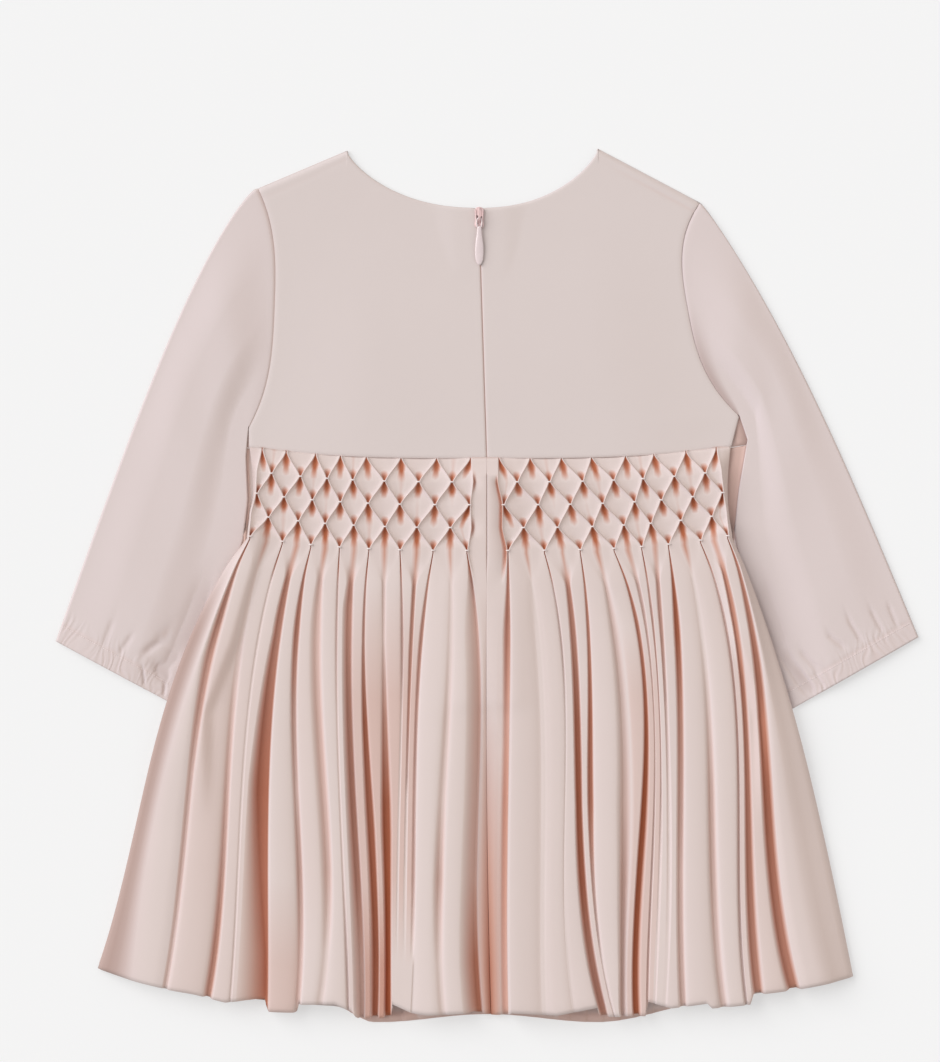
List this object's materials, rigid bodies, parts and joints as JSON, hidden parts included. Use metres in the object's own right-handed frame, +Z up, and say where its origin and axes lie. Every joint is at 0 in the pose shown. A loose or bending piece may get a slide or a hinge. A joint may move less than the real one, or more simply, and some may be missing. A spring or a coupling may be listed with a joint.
{
  "type": "child's smocked dress",
  "caption": "Small child's long-sleeved dress laid flat, back up, with a honeycomb-smocked waist, a pleated skirt and a zip at the centre back.",
  "frame": {"origin": "on the surface it lies on, under the middle of its bounding box", "axes": "+X to the right and +Y towards the neck as one looks down on its back, +Z up from the surface"},
  "size_m": [0.4858, 0.4916, 0.0135],
  "materials": {
    "cloth": "matt pale pink crepe with a faint sheen",
    "zip_tape": "woven tape",
    "zip_metal": "pale pink lacquer on metal"
  },
  "bodies": {
    "dress": {"bodice_front": "cloth", "bodice_back_left": "cloth", "bodice_back_right": "cloth", "sleeve_left": "cloth", "sleeve_right": "cloth", "skirt_front": "cloth", "skirt_back_left": "cloth", "skirt_back_right": "cloth", "zip_tape": "zip_tape", "zip_slider": "zip_metal"},
    "pull": {"zip_pull": "zip_metal"}
  },
  "joints": [
    {"name": "pull_hinge", "type": "hinge", "parent": "dress", "child": "pull", "pos_m": [-0.00441, 0.2064, 0.0061], "axis": [-1, 0, 0], "range_deg": [0, 150]}
  ]
}
